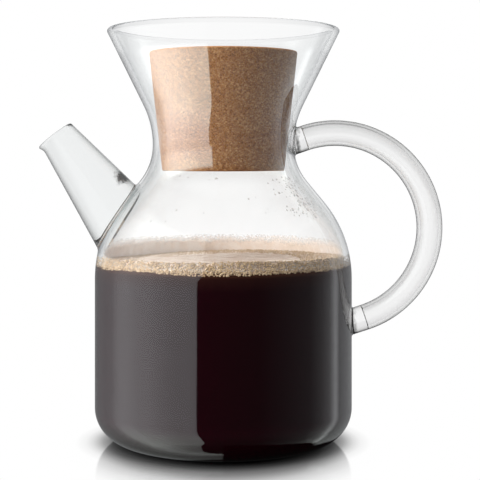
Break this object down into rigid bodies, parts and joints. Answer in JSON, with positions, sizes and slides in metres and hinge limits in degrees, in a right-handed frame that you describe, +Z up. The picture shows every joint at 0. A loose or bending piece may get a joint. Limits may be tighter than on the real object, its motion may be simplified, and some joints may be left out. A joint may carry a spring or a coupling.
{
  "type": "pour-over coffee maker",
  "caption": "Blown glass pour-over carafe with a built-in funnel top, narrow waist, fused side spout and glass tube loop handle, closed by a tapered cork stopper that lifts out.",
  "frame": {"origin": "centre of the foot ring, on the plane that the vessel stands on", "axes": "+Z up along the vessel's axis, spout towards -X, handle towards +X, +Y away from the picture's camera"},
  "size_m": [0.1891, 0.12, 0.1925],
  "materials": {
    "clear_glass": "clear borosilicate, fire-polished",
    "weld_glass": "clear borosilicate, thick and slightly rippled where it was fused",
    "cork": "matt agglomerated cork with fine grains"
  },
  "bodies": {
    "carafe": {"glass_vessel": "clear_glass", "spout": "clear_glass", "spout_weld": "weld_glass", "handle": "clear_glass", "handle_upper_weld": "weld_glass", "handle_lower_weld": "weld_glass"},
    "stopper": {"cork_stopper": "cork"}
  },
  "joints": [
    {"name": "stopper_lift", "type": "slide", "parent": "carafe", "child": "stopper", "axis": [0, 0, 1], "range_m": [0, 0.08]}
  ]
}
